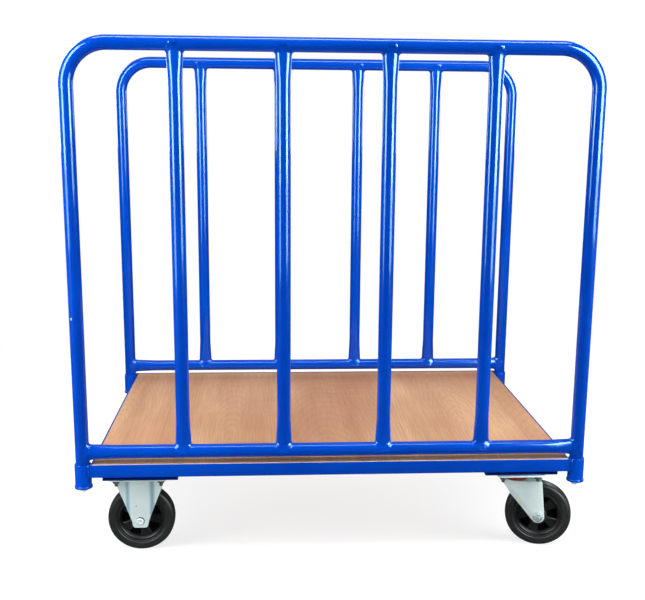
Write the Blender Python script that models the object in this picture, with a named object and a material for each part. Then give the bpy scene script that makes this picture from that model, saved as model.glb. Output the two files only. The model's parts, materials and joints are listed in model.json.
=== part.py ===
# Long goods trolley: a plywood deck in an angle-steel frame, two bolted-in tubular
# side frames, two fixed casters on the left and two swivel casters on the right.
# Metres, +Z up. X runs along the deck, Y across it, and the origin is on the floor
# under the middle of the deck. Front is -Y and left is -X.
import math

import bmesh
import bpy
from mathutils import Vector

# Fits and facets
gap = 0.0003                # between pieces that touch
tube_sides = 14
wheel_sides = 24
small_sides = 12            # bolts, pins and other small round pieces
bolt_hole_sides = 8
bend_steps = 6

# Side frames
tube_diameter = 0.032
tube_wall = 0.0015
post_spacing = 1.170        # between post axes, along the deck
frame_spacing = 0.800       # between the two side frames
frame_height = 1.200        # floor to the top of the top rail
bend_radius = 0.089         # to the tube's axis
bar_count = 4
crimp_width = 0.037         # flattened ends of bars and bottom rails
crimp_thickness = 0.026
crimp_length = 0.070
rail_lift = 0.012           # deck to the underside of a bottom rail

# Sockets that hold the posts
socket_play = 0.0005
socket_wall = 0.0025
socket_depth = 0.058
socket_floor = 0.004
lip_overhang = 0.0018
lip_height = 0.005
post_plug_height = 0.025    # threaded plug in a post's foot
post_bolt_diameter = 0.010
post_bolt_flats = 0.017
post_bolt_head = 0.0064
post_bolt_reach = 0.018     # thread inside the plug
washer_diameter = 0.021
washer_thickness = 0.002
hole_play = 0.0005          # round a bolt in its hole

# Deck
angle_size = 0.030
angle_wall = 0.003
angle_setback = 0.004       # a side angle's face behind the sockets' faces
board_thickness = 0.018
board_play = 0.0005
bearer_width = 0.040

# Caster channels
channel_width = 0.175
channel_wall = 0.004
channel_drop = 0.0125       # below the angles
channel_setback = 0.012     # its ends behind the side angles' faces
channel_end_clearance = 0.0247  # its outer side inside an end angle's face

# Casters
caster_height = 0.1935      # floor to the top of a caster's plate
wheel_inset = 0.073         # wheel's middle plane inside a side angle's face
plate_length = 0.135
plate_width = 0.115
plate_thickness = 0.004
plate_bolt_diameter = 0.009
bolt_pattern_length = 0.105
bolt_pattern_width = 0.085
leg_thickness = 0.003
fixed_caster_shift = 0.0065 # a fixed caster's axle outside its channel's middle
fixed_leg_top = 0.126
fixed_end_radius = 0.020    # a bracket leg's end, round the axle
hub_play = 0.001
swivel_trail = 0.059
swivel_turn = -15.0         # degrees, the forks' heading at rest
fork_tail = 0.034           # crown's edge ahead of the swivel axis
fork_nose = 0.007           # crown's edge beyond the axle
fork_end_radius = 0.016
crown_thickness = 0.004
wheel_clearance = 0.004     # tyre to the crown above it
kingpin_diameter = 0.012
kingpin_head = 0.024
kingpin_tail_height = 0.006
race_diameter = 0.058
race_bore = 0.040
seal_wall = 0.003
seal_share = 0.38           # of the ball race's height

# Wheels
wheel_diameter = 0.160
tyre_width = 0.040
tyre_shoulder = 0.007       # width and depth of the tread's rounded edge
tyre_step = 0.003           # sidewall step beside the rim
rim_diameter = 0.112
rim_width = 0.034
rim_wall = 0.006
web_thickness = 0.012
hub_diameter = 0.044
hub_length = 0.058
bearing_diameter = 0.030
bearing_length = 0.050
axle_diameter = 0.020
axle_end_diameter = 0.012
axle_head_diameter = 0.022
axle_head = 0.003
axle_bolt_flats = 0.019
axle_bolt_head = 0.0075
axle_nut_height = 0.010
axle_bolt_stub = 0.002      # thread beyond the nut

# Levels and lines worked out from the sizes above
tube_radius = tube_diameter / 2
post_x = post_spacing / 2
frame_y = frame_spacing / 2
socket_bore = tube_radius + socket_play
socket_radius = socket_bore + socket_wall
side_face_y = frame_y + socket_radius - angle_setback
end_face_x = post_x - socket_radius - gap
channel_bottom = caster_height + gap
angle_bottom = channel_bottom + channel_drop
angle_leg_top = angle_bottom + angle_wall
deck_top = angle_bottom + angle_size
board_bottom = deck_top - board_thickness
socket_bottom = deck_top - socket_depth
post_bottom = socket_bottom + socket_floor + gap
bottom_rail_z = deck_top + rail_lift + tube_radius
top_rail_z = frame_height - tube_radius
axle_z = wheel_diameter / 2
plate_bottom = caster_height - plate_thickness
crown_top = wheel_diameter + wheel_clearance + crown_thickness
wheel_y = side_face_y - wheel_inset
channel_outer_x = end_face_x - channel_end_clearance
channel_x = channel_outer_x - channel_width / 2
fixed_x = channel_x + fixed_caster_shift
fork_half = hub_length / 2 + hub_play
axle_hole_radius = axle_end_diameter / 2 + gap

finishes = {
    "blue_paint": ((0.005, 0.062, 0.52, 1), 0.28, 0.0),
    "plywood": ((0.56, 0.33, 0.19, 1), 0.55, 0.0),
    "zinc": ((0.66, 0.72, 0.74, 1), 0.38, 0.9),
    "dark_steel": ((0.08, 0.08, 0.09, 1), 0.5, 0.8),
    "tyre_rubber": ((0.012, 0.012, 0.013, 1), 0.7, 0.0),
    "black_plastic": ((0.018, 0.018, 0.02, 1), 0.45, 0.0),
    "red_seal": ((0.25, 0.02, 0.012, 1), 0.5, 0.0),
}


# Scene helpers

def clear_scene():
    for old in list(bpy.data.objects):
        bpy.data.objects.remove(old, do_unlink=True)


def make_material(name, finish):
    colour, roughness, metallic = finishes[finish]
    material = bpy.data.materials.new(name + "_" + finish)
    material.use_nodes = True
    shader = material.node_tree.nodes["Principled BSDF"]
    shader.inputs["Base Color"].default_value = colour
    shader.inputs["Roughness"].default_value = roughness
    shader.inputs["Metallic"].default_value = metallic
    material.diffuse_color = colour
    return material


def make_empty(name, location, parent=None, heading=0.0):
    empty = bpy.data.objects.new(name, None)
    empty.location = location
    empty.rotation_euler = (0, 0, heading)
    empty.parent = parent
    bpy.context.scene.collection.objects.link(empty)
    return empty


def make_object(name, shape, finish=None, location=(0, 0, 0), rotation=(0, 0, 0), parent=None):
    bmesh.ops.recalc_face_normals(shape, faces=shape.faces)
    mesh = bpy.data.meshes.new(name)
    shape.to_mesh(mesh)
    shape.free()
    thing = bpy.data.objects.new(name, mesh)
    thing.location = location
    thing.rotation_euler = rotation
    thing.parent = parent
    if finish:
        mesh.materials.append(make_material(name, finish))
        mesh.shade_smooth()
        mesh.set_sharp_from_angle(angle=math.radians(35))
    bpy.context.scene.collection.objects.link(thing)
    return thing


def cut_or_join(target, tool_shape, operation):
    tool = make_object(target.name + "_tool", tool_shape)
    modifier = target.modifiers.new(operation.lower(), "BOOLEAN")
    modifier.operation = operation
    modifier.solver = "EXACT"
    modifier.object = tool
    bpy.context.view_layer.update()
    depsgraph = bpy.context.evaluated_depsgraph_get()
    mesh = bpy.data.meshes.new_from_object(target.evaluated_get(depsgraph))
    target.modifiers.clear()
    target.data = mesh
    bpy.data.objects.remove(tool, do_unlink=True)


# Shape helpers

def loft(rings, looped=False):
    shape = bmesh.new()
    loops = [[shape.verts.new(point) for point in ring] for ring in rings]
    pairs = list(zip(loops, loops[1:]))
    if looped:
        pairs.append((loops[-1], loops[0]))
    for low, high in pairs:
        for i in range(len(low)):
            j = (i + 1) % len(low)
            shape.faces.new((low[i], low[j], high[j], high[i]))
    if not looped:
        shape.faces.new(list(reversed(loops[0])))
        shape.faces.new(loops[-1])
    return shape


def oval(count, half_x, half_y, z=0.0):
    steps = [(i + 0.5) * 2 * math.pi / count for i in range(count)]
    return [Vector((half_x * math.cos(t), half_y * math.sin(t), z)) for t in steps]


def hexagon(count, flats, z):
    ring = []
    for i in range(count):
        turn = i * 2 * math.pi / count
        off_flat = (turn + math.pi / 6) % (math.pi / 3) - math.pi / 6
        reach = flats / 2 / math.cos(off_flat)
        ring.append(Vector((reach * math.cos(turn), reach * math.sin(turn), z)))
    return ring


def turned(profile, count, looped=False):
    return loft([oval(count, radius, radius, z) for radius, z in profile], looped)


def block(x_range, y_range, z_range):
    corners = [(0, 0), (1, 0), (1, 1), (0, 1)]
    return loft([[Vector((x_range[i], y_range[j], z)) for i, j in corners] for z in z_range])


def extruded(outline, along_y):
    return loft([[Vector((x, y, z)) for x, z in outline] for y in along_y])


def drilled_row(target, points, radius, z_range):
    for x, y in points:
        low, high = (oval(bolt_hole_sides, radius, radius, z) for z in z_range)
        drill = loft([[point + Vector((x, y, 0)) for point in ring] for ring in (low, high)])
        cut_or_join(target, drill, "DIFFERENCE")


def cross_drilled(target, x, z, radius, half_depth):
    ring = oval(small_sides, radius, radius)
    outline = [(x + point.x, z + point.y) for point in ring]
    cut_or_join(target, extruded(outline, (-half_depth, half_depth)), "DIFFERENCE")


def smooth_step(value):
    value = max(0.0, min(1.0, value))
    return value * value * (3 - 2 * value)


def tangent_angle(corner_x, corner_z, centre_x, centre_z, radius, side):
    # direction from the circle's centre to where a line from the corner touches it
    dx, dz = corner_x - centre_x, corner_z - centre_z
    return math.atan2(dz, dx) + side * math.acos(radius / math.hypot(dx, dz))


def leg_outline(left, right, top, axle_x, radius, steps=8):
    start = tangent_angle(left, top, axle_x, axle_z, radius, 1)
    stop = tangent_angle(right, top, axle_x, axle_z, radius, -1)
    stop += 2 * math.pi if stop < start else 0
    points = [(right, top), (left, top)]
    for i in range(steps + 1):
        turn = start + (stop - start) * i / steps
        points.append((axle_x + radius * math.cos(turn), axle_z + radius * math.sin(turn)))
    return points


# Side frames

def crimped_tube(span):
    # a tube along Z between two cross tubes along X, its flattened ends coped to them
    def section(distance, inset):
        share = smooth_step(distance / crimp_length)
        half_x = (crimp_width / 2) * (1 - share) + tube_radius * share
        half_y = (crimp_thickness / 2) * (1 - share) + tube_radius * share
        return oval(tube_sides, half_x - inset, half_y - inset)

    def coped(inset, far):
        ring = section(0, inset)
        for point in ring:
            seat = math.sqrt((tube_radius + gap) ** 2 - point.y ** 2)
            point.z = span - seat if far else seat
        return ring

    def level(distance, inset, far):
        ring = section(distance - tube_radius, inset)
        for point in ring:
            point.z = span - distance if far else distance
        return ring

    crimp_end = tube_radius + crimp_length
    crimp_middle = tube_radius + crimp_length / 2
    outer = [coped(0, False), level(crimp_middle, 0, False), level(crimp_end, 0, False),
             level(crimp_end, 0, True), level(crimp_middle, 0, True), coped(0, True)]
    inner = [coped(tube_wall, True), level(crimp_end, tube_wall, True),
             level(crimp_end, tube_wall, False), coped(tube_wall, False)]
    return loft(outer + inner, looped=True)


def hoop_path():
    # centre and outward direction of each section, from the left foot to the right foot
    bend_x = post_x - bend_radius
    bend_z = top_rail_z - bend_radius
    path = [(-post_x, post_bottom, math.pi)]
    for centre_x, first in ((-bend_x, math.pi), (bend_x, math.pi / 2)):
        for i in range(bend_steps + 1):
            turn = first - (math.pi / 2) * i / bend_steps
            path.append((centre_x + bend_radius * math.cos(turn),
                         bend_z + bend_radius * math.sin(turn), turn))
    path.append((post_x, post_bottom, 0.0))
    return path


def hoop_ring(x, z, turn, radius):
    outward = Vector((math.cos(turn), 0, math.sin(turn)))
    across = Vector((0, 1, 0))
    centre = Vector((x, 0, z))
    return [centre + outward * p.x + across * p.y for p in oval(tube_sides, radius, radius)]


def hoop_shape():
    path = hoop_path()
    bore = tube_radius - tube_wall
    thread = post_bolt_diameter / 2 + gap
    plug_top = post_bottom + post_plug_height
    outer = [hoop_ring(x, z, turn, tube_radius) for x, z, turn in path]
    inner = [hoop_ring(post_x, post_bottom, 0.0, thread), hoop_ring(post_x, plug_top, 0.0, thread),
             hoop_ring(post_x, plug_top, 0.0, bore)]
    inner += [hoop_ring(x, z, turn, bore) for x, z, turn in reversed(path[1:-1])]
    inner += [hoop_ring(-post_x, plug_top, math.pi, bore),
              hoop_ring(-post_x, plug_top, math.pi, thread),
              hoop_ring(-post_x, post_bottom, math.pi, thread)]
    return loft(outer + inner, looped=True)


def make_side_frame(side, y):
    make_object(side + "_hoop", hoop_shape(), "blue_paint", (0, y, 0))
    make_object(side + "_bottom_rail", crimped_tube(post_spacing), "blue_paint",
                (-post_x, y, bottom_rail_z), (0, math.pi / 2, 0))
    pitch = post_spacing / (bar_count + 1)
    for i in range(bar_count):
        make_object(f"{side}_bar_{i + 1}", crimped_tube(top_rail_z - bottom_rail_z), "blue_paint",
                    (-post_x + pitch * (i + 1), y, bottom_rail_z))


def make_socket(place, x, y):
    lip = socket_radius + lip_overhang
    hole = post_bolt_diameter / 2 + hole_play
    profile = [(socket_radius, socket_depth), (socket_radius, lip_height), (lip, lip_height),
               (lip, 0), (hole, 0), (hole, socket_floor), (socket_bore, socket_floor),
               (socket_bore, socket_depth)]
    make_object(place + "_socket", turned(profile, tube_sides, looped=True), "blue_paint",
                (x, y, socket_bottom))


def make_post_bolt(place, x, y):
    head_top = -gap - washer_thickness
    shank = post_bolt_diameter / 2
    tip = socket_floor + gap + post_bolt_reach
    rings = [hexagon(small_sides, post_bolt_flats, head_top - post_bolt_head),
             hexagon(small_sides, post_bolt_flats, head_top)]
    for radius, z in ((washer_diameter / 2, head_top), (washer_diameter / 2, -gap),
                      (shank, -gap), (shank, tip)):
        rings.append(oval(small_sides, radius, radius, z))
    make_object(place + "_post_bolt", loft(rings), "zinc", (x, y, socket_bottom))


# Deck

def angle_outline(face, inward):
    # an angle's section: upright leg at the face, flat leg at the bottom
    toe = face + inward * angle_size
    inside = face + inward * angle_wall
    return [(face, angle_bottom), (toe, angle_bottom), (toe, angle_leg_top),
            (inside, angle_leg_top), (inside, deck_top), (face, deck_top)]


def make_side_angle(name, sign):
    face = sign * side_face_y
    upright_reach = side_face_y - angle_wall - frame_y
    end_x = post_x - math.sqrt((socket_radius + gap) ** 2 - upright_reach ** 2)
    leg_end = post_x - socket_radius - gap
    rings = [[Vector((x, y, z)) for y, z in angle_outline(face, -sign)] for x in (-end_x, end_x)]
    angle = make_object(name, loft(rings), "blue_paint")
    inner = sorted((sign * (side_face_y - angle_wall - gap), sign * (side_face_y - 2 * angle_size)))
    for x_range in ((-post_x, -leg_end), (leg_end, post_x)):
        notch = block(x_range, inner, (angle_bottom - angle_wall, deck_top))
        cut_or_join(angle, notch, "DIFFERENCE")


def make_end_angle(name, sign):
    reach = side_face_y - angle_wall - gap
    leg_reach = side_face_y - angle_size - gap
    outline = angle_outline(sign * end_face_x, -sign)
    angle = make_object(name, extruded(outline, (-reach, reach)), "blue_paint")
    across = sorted((sign * post_x, sign * (end_face_x - 2 * angle_size)))
    for y_range in ((-frame_spacing, -leg_reach), (leg_reach, frame_spacing)):
        notch = block(across, y_range, (angle_bottom - angle_wall, angle_leg_top + gap))
        cut_or_join(angle, notch, "DIFFERENCE")


def make_board():
    half_x = end_face_x - angle_wall - board_play
    half_y = side_face_y - angle_wall - board_play
    shape = block((-half_x, half_x), (-half_y, half_y), (board_bottom, deck_top))
    make_object("deck_board", shape, "plywood")


def make_bearer():
    half_y = side_face_y - angle_wall - gap
    shape = block((-bearer_width / 2, bearer_width / 2), (-half_y, half_y),
                  (angle_leg_top + gap, board_bottom - gap))
    make_object("deck_bearer", shape, "blue_paint")


def bolt_places(x, y, length, width):
    return [(x + i * length / 2, y + j * width / 2) for i in (-1, 1) for j in (-1, 1)]


def make_channel(name, sign, caster_x, length, width):
    # outer flange under the end angle's leg, inner flange up to the board
    outer, inner = sign * channel_outer_x, sign * (channel_outer_x - channel_width)
    web_top = channel_bottom + channel_wall
    outer_top = angle_bottom - gap
    inner_top = board_bottom - gap
    outline = [(outer, channel_bottom), (inner, channel_bottom), (inner, inner_top),
               (inner + sign * channel_wall, inner_top), (inner + sign * channel_wall, web_top),
               (outer - sign * channel_wall, web_top), (outer - sign * channel_wall, outer_top),
               (outer, outer_top)]
    reach = side_face_y - channel_setback
    leg_reach = side_face_y - angle_size - gap
    channel = make_object(name, extruded(outline, (-reach, reach)), "blue_paint")
    beside = sorted((inner - sign * channel_wall, inner + sign * 2 * channel_wall))
    for y_range in ((-frame_spacing, -leg_reach), (leg_reach, frame_spacing)):
        notch = block(beside, y_range, (outer_top, deck_top))
        cut_or_join(channel, notch, "DIFFERENCE")
    for y in (-wheel_y, wheel_y):
        drilled_row(channel, bolt_places(caster_x, y, length, width),
                    plate_bolt_diameter / 2 + hole_play, (channel_bottom - gap, web_top + gap))


# Casters

def plate_shape(length, width):
    return block((-length / 2, length / 2), (-width / 2, width / 2), (plate_bottom, caster_height))


def drill_plate(target, length, width):
    drilled_row(target, bolt_places(0, 0, length, width), plate_bolt_diameter / 2 + hole_play,
                (plate_bottom - gap, caster_height + gap))


def add_legs(target, outline):
    for y_range in ((fork_half, fork_half + leg_thickness), (-fork_half - leg_thickness, -fork_half)):
        cut_or_join(target, extruded(outline, y_range), "UNION")


def make_wheel(place, hub):
    turn = (math.pi / 2, 0, 0)
    radius = wheel_diameter / 2 / math.cos(math.pi / wheel_sides)
    seat = rim_diameter / 2
    half = tyre_width / 2
    profile = [(radius, half - tyre_shoulder), (radius - tyre_shoulder, half),
               (seat + 2 * tyre_step, half), (seat + gap, half - tyre_step),
               (seat + gap, tyre_step - half), (seat + 2 * tyre_step, -half),
               (radius - tyre_shoulder, -half), (radius, tyre_shoulder - half)]
    tyre = turned(profile, wheel_sides, looped=True)
    make_object(place + "_tyre", tyre, "tyre_rubber", rotation=turn, parent=hub)
    side = rim_width / 2
    web = web_thickness / 2
    hub_radius = hub_diameter / 2
    hub_half = hub_length / 2
    bore = bearing_diameter / 2 + gap
    inside = seat - rim_wall
    profile = [(seat, side), (seat, -side), (inside, -side), (inside, -web), (hub_radius, -web),
               (hub_radius, -hub_half), (bore, -hub_half), (bore, hub_half), (hub_radius, hub_half),
               (hub_radius, web), (inside, web), (inside, side)]
    rim = turned(profile, wheel_sides, looped=True)
    make_object(place + "_rim", rim, "black_plastic", rotation=turn, parent=hub)
    outer = bearing_diameter / 2
    inner = axle_diameter / 2 + gap
    half = bearing_length / 2
    profile = [(outer, half), (outer, -half), (inner, -half), (inner, half)]
    bearing = turned(profile, tube_sides, looped=True)
    make_object(place + "_bearing", bearing, "dark_steel", rotation=turn, parent=hub)


def make_fixed_caster(place, x, y):
    caster = make_empty(place + "_caster", (x, y, 0))
    bracket = make_object(place + "_bracket", plate_shape(plate_length, plate_width), "zinc")
    half = fixed_leg_top / 2
    leg_top = plate_bottom + plate_thickness / 2
    add_legs(bracket, leg_outline(-half, half, leg_top, 0, fixed_end_radius))
    cross_drilled(bracket, 0, axle_z, axle_hole_radius, plate_width)
    drill_plate(bracket, bolt_pattern_length, bolt_pattern_width)
    bracket.parent = caster
    hub = make_empty(place + "_hub", (0, 0, axle_z), caster)
    middle = fork_half - gap
    outside = fork_half + leg_thickness + gap
    head = axle_head_diameter / 2
    end = axle_end_diameter / 2
    body = axle_diameter / 2
    half_profile = [(head, outside + axle_head), (head, outside), (end, outside), (end, middle),
                    (body, middle)]
    profile = half_profile + [(radius, -z) for radius, z in reversed(half_profile)]
    make_object(place + "_axle", turned(profile, small_sides), "zinc",
                rotation=(math.pi / 2, 0, 0), parent=hub)
    make_wheel(place, hub)


def make_swivel_head(place, caster):
    plate = make_object(place + "_top_plate", plate_shape(plate_width, plate_length), "zinc")
    shank = kingpin_diameter / 2
    flare = kingpin_head / 2
    hole = [(shank + gap, plate_bottom - gap), (shank + gap, plate_bottom), (flare + gap, caster_height),
            (flare + gap, caster_height + gap)]
    cut_or_join(plate, turned(hole, small_sides), "DIFFERENCE")
    drill_plate(plate, bolt_pattern_width, bolt_pattern_length)
    plate.parent = caster
    tail_top = crown_top - crown_thickness - gap
    head_radius = shank + (flare - shank) * (1 - gap / plate_thickness)
    profile = [(head_radius, caster_height - gap), (shank, plate_bottom), (shank, tail_top),
               (flare, tail_top), (flare, tail_top - kingpin_tail_height)]
    make_object(place + "_kingpin", turned(profile, small_sides), "zinc", parent=caster)
    top, bottom = plate_bottom - gap, crown_top + gap
    outer, inner = race_diameter / 2, race_bore / 2
    profile = [(outer, top), (outer, bottom), (inner, bottom), (inner, top)]
    race = turned(profile, wheel_sides, looped=True)
    make_object(place + "_ball_race", race, "dark_steel", parent=caster)
    inner = outer + gap
    outer = inner + seal_wall
    top = bottom + seal_share * (top - bottom)
    profile = [(outer, top), (outer, bottom), (inner, bottom), (inner, top)]
    seal = turned(profile, wheel_sides, looped=True)
    make_object(place + "_seal_ring", seal, "red_seal", parent=caster)


def make_fork(place, heading):
    half_y = fork_half + leg_thickness
    nose = swivel_trail + fork_nose
    crown = block((-fork_tail, nose), (-half_y, half_y), (crown_top - crown_thickness, crown_top))
    fork = make_object(place + "_fork", crown, "zinc")
    leg_top = crown_top - crown_thickness / 2
    add_legs(fork, leg_outline(-fork_tail, nose, leg_top, swivel_trail, fork_end_radius))
    hole = kingpin_diameter / 2 + gap
    drill = turned([(hole, crown_top - 2 * crown_thickness), (hole, crown_top + gap)], small_sides)
    cut_or_join(fork, drill, "DIFFERENCE")
    cross_drilled(fork, swivel_trail, axle_z, axle_hole_radius, plate_width)
    fork.parent = heading


def make_swivel_axle(place, hub):
    turn = (math.pi / 2, 0, 0)
    outside = fork_half + leg_thickness + gap
    shank = axle_end_diameter / 2
    tip = outside + axle_nut_height + axle_bolt_stub
    rings = [hexagon(small_sides, axle_bolt_flats, -outside - axle_bolt_head),
             hexagon(small_sides, axle_bolt_flats, -outside),
             oval(small_sides, shank, shank, -outside), oval(small_sides, shank, shank, tip)]
    make_object(place + "_axle_bolt", loft(rings), "zinc", rotation=turn, parent=hub)
    top = outside + axle_nut_height
    bore = shank + gap
    rings = [hexagon(small_sides, axle_bolt_flats, z) for z in (top, outside)]
    rings += [oval(small_sides, bore, bore, z) for z in (outside, top)]
    make_object(place + "_axle_nut", loft(rings, looped=True), "zinc", rotation=turn, parent=hub)
    half = fork_half - gap
    body = axle_diameter / 2
    profile = [(body, half), (body, -half), (bore, -half), (bore, half)]
    sleeve = turned(profile, small_sides, looped=True)
    make_object(place + "_axle_sleeve", sleeve, "zinc", rotation=turn, parent=hub)


def make_swivel_caster(place, x, y):
    caster = make_empty(place + "_swivel", (x, y, 0))
    make_swivel_head(place, caster)
    heading = make_empty(place + "_heading", (0, 0, 0), caster, math.radians(swivel_turn))
    make_fork(place, heading)
    hub = make_empty(place + "_hub", (swivel_trail, 0, axle_z), heading)
    make_swivel_axle(place, hub)
    make_wheel(place, hub)


# Assembly

def main():
    clear_scene()
    for side, y in (("front", -frame_y), ("rear", frame_y)):
        make_side_frame(side, y)
        for end, x in (("left", -post_x), ("right", post_x)):
            make_socket(f"{side}_{end}", x, y)
            make_post_bolt(f"{side}_{end}", x, y)
    make_board()
    make_bearer()
    make_side_angle("front_angle", -1)
    make_side_angle("rear_angle", 1)
    make_end_angle("left_angle", -1)
    make_end_angle("right_angle", 1)
    make_channel("left_caster_channel", -1, -fixed_x, bolt_pattern_length, bolt_pattern_width)
    make_channel("right_caster_channel", 1, channel_x, bolt_pattern_width, bolt_pattern_length)
    for side, y in (("front", -wheel_y), ("rear", wheel_y)):
        make_fixed_caster(side + "_left", -fixed_x, y)
        make_swivel_caster(side + "_right", channel_x, y)


main()
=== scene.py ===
# Long goods trolley: finished surfaces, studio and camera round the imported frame. Metres, +Z up.
import json
import math
from functools import partialmethod

import bmesh
import bpy
from mathutils import Matrix, Vector


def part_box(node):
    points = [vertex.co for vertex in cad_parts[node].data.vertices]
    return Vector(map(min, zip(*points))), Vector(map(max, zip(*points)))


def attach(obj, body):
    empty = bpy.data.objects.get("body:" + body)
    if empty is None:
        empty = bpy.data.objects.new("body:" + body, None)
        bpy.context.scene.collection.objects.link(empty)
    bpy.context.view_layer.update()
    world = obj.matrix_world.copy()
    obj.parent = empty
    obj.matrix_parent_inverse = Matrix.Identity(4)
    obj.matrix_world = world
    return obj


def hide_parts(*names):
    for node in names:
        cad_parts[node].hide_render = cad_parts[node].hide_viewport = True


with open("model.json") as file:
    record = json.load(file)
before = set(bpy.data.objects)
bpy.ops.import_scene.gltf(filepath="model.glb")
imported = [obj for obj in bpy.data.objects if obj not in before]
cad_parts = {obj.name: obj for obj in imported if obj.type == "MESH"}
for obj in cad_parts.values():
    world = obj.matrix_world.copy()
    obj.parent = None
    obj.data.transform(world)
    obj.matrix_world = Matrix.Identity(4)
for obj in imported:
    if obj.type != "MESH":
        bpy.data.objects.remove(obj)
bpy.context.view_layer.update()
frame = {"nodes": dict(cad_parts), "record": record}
nodes = frame["nodes"]
print("frame loaded:", len(nodes), "nodes")


# places read from the frame

def middleOf(node):
    low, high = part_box(node)
    return (low + high) / 2


def jointNamed(name):
    return next(j for j in frame["record"]["behaviour"]["joints"] if j["name"] == name)


def headingOf(place):
    axle = Vector(jointNamed(place + "_wheel_spin")["axis"])
    return turned(math.atan2(-axle.x, axle.y), "Z")


def at(x, y, z):
    return Matrix.Translation((x, y, z))


def turned(angle, axis):
    return Matrix.Rotation(angle, 4, axis)


def polar(radius, turn, height):
    return Vector((radius * math.cos(turn), radius * math.sin(turn), height))


def pick(sizes, keys):
    return [sizes[key] for key in keys.split()]


frameY = {"front": middleOf("front_hoop").y, "rear": middleOf("rear_hoop").y}
postX = middleOf("front_right_socket").x
bottomRailZ = middleOf("front_bottom_rail").z
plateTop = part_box("front_right_top_plate")[1].z
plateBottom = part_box("front_right_top_plate")[0].z
axleZ = middleOf("front_left_tyre").z
alongY = turned(math.pi / 2, "X")  # lays an upright piece along an axle
halfTurn = turned(math.pi, "Z")
fineEdge = 0.0003  # on washers, pins and other small turned pieces


# working by hand: selection, edit mode, modifiers, copies

def clearSelection():
    if bpy.context.object and bpy.context.object.mode != "OBJECT":
        bpy.ops.object.mode_set(mode="OBJECT")
    bpy.ops.object.select_all(action="DESELECT")


def activate(piece):
    clearSelection()
    piece.select_set(True)
    bpy.context.view_layer.objects.active = piece


def named(name):
    piece = bpy.context.object  # what the last operator added
    piece.name = name
    piece.data.name = name
    return piece


def added(name, operator, **settings):
    clearSelection()
    operator(**settings)
    return named(name)


def selectAll(action="SELECT"):
    bpy.ops.mesh.select_all(action=action)


def linked(piece):
    bpy.context.scene.collection.objects.link(piece)
    return piece


def settle(piece, matrix=None):
    if matrix is not None:
        piece.matrix_world = matrix @ piece.matrix_world
    activate(piece)
    bpy.ops.object.transform_apply(location=True, rotation=True, scale=True)
    return piece


def startEdit(piece):
    activate(piece)
    bpy.ops.object.mode_set(mode="EDIT")
    selectAll()


def endEdit():
    bpy.ops.object.mode_set(mode="OBJECT")


def pushRing(x, y, z):
    bpy.ops.mesh.extrude_region_move(TRANSFORM_OT_translate={"value": (x, y, z)})


def closeEnds(bridged=False):
    selectAll()
    if bridged:
        bpy.ops.mesh.select_mode(type="EDGE")
        selectAll("DESELECT")
        bpy.ops.mesh.select_non_manifold()
        bpy.ops.mesh.bridge_edge_loops()
    else:
        bpy.ops.mesh.fill_holes(sides=0)
    selectAll()
    bpy.ops.mesh.remove_doubles(threshold=0.000001)
    bpy.ops.mesh.normals_make_consistent(inside=False)


def applied(piece, kind, **settings):
    activate(piece)
    modifier = piece.modifiers.new(kind.lower(), kind)
    for key, value in settings.items():
        setattr(modifier, key, value)
    bpy.ops.object.modifier_apply(modifier=modifier.name)


def roundEdges(piece, width, segments=2, angle=30):
    applied(piece, "BEVEL", width=width, segments=segments, limit_method="ANGLE",
            angle_limit=math.radians(angle))


def smooth(piece, angle=35):
    activate(piece)
    bpy.ops.object.shade_smooth_by_angle(angle=math.radians(angle))
    return piece


def fromShape(name, shape):
    mesh = bpy.data.meshes.new(name)
    shape.to_mesh(mesh)
    shape.free()
    return linked(bpy.data.objects.new(name, mesh))


def twin(piece, name, matrix):
    copied = piece.copy()
    copied.data = piece.data.copy()
    copied.name = name
    copied.data.name = name
    linked(copied)
    copied.data.transform(matrix)
    if matrix.determinant() < 0:
        copied.data.flip_normals()  # a mirrored copy turns inside out
    return copied


def joined(name, pieces):
    clearSelection()
    for piece in pieces:
        piece.select_set(True)
    bpy.context.view_layer.objects.active = pieces[0]
    bpy.ops.object.join()
    return named(name)


def discard(*pieces):
    for piece in pieces:
        bpy.data.objects.remove(piece, do_unlink=True)


def finishPiece(piece, slot, *replaced, body="chassis", finish=None):
    piece.data.materials.clear()
    piece.data.materials.append(finishes[finish or slot])
    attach(piece, body)
    if replaced:
        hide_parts(*replaced)


def lay(master, name, matrix, slot, *replaced, **settings):
    # a finished copy of a master piece
    finishPiece(twin(master, name, matrix), slot, *replaced, **settings)


def ringTube(name, stations, sides, bridged=False):
    # a ring is extruded and scaled from station to station: height, half width in X, half width in Y
    z, halfX, halfY = stations[0]
    piece = added(name, bpy.ops.mesh.primitive_circle_add, vertices=sides, radius=1, location=(0, 0, z))
    piece.scale = (halfX, halfY, 1)
    startEdit(settle(piece))
    for nextZ, nextX, nextY in stations[1:]:
        pushRing(0, 0, nextZ - z)
        bpy.ops.transform.resize(value=(nextX / halfX, nextY / halfY, 1), center_override=(0, 0, nextZ))
        z, halfX, halfY = nextZ, nextX, nextY
    closeEnds(bridged)
    endEdit()
    return piece


def lathe(name, profile, sides=48, bridged=True, edge=0.0, segments=2, edgeAngle=30, matrix=None, angle=0):
    # a (radius, height) profile turned about Z, then eased, laid in place and smoothed as asked for
    piece = ringTube(name, [(height, radius, radius) for radius, height in profile], sides, bridged)
    if edge:
        roundEdges(piece, edge, segments, edgeAngle)
    if matrix:
        settle(piece, matrix)
    return smooth(piece, angle) if angle else piece


def turnedRing(name, bore, outer, low, high, sides=48, edge=fineEdge, **settings):
    profile = [(bore, low), (outer, low), (outer, high), (bore, high)]
    return lathe(name, profile, sides, edge=edge, angle=35, **settings)


def mirroredProfile(half):
    return half + [(radius, -height) for radius, height in reversed(half)]


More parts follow.
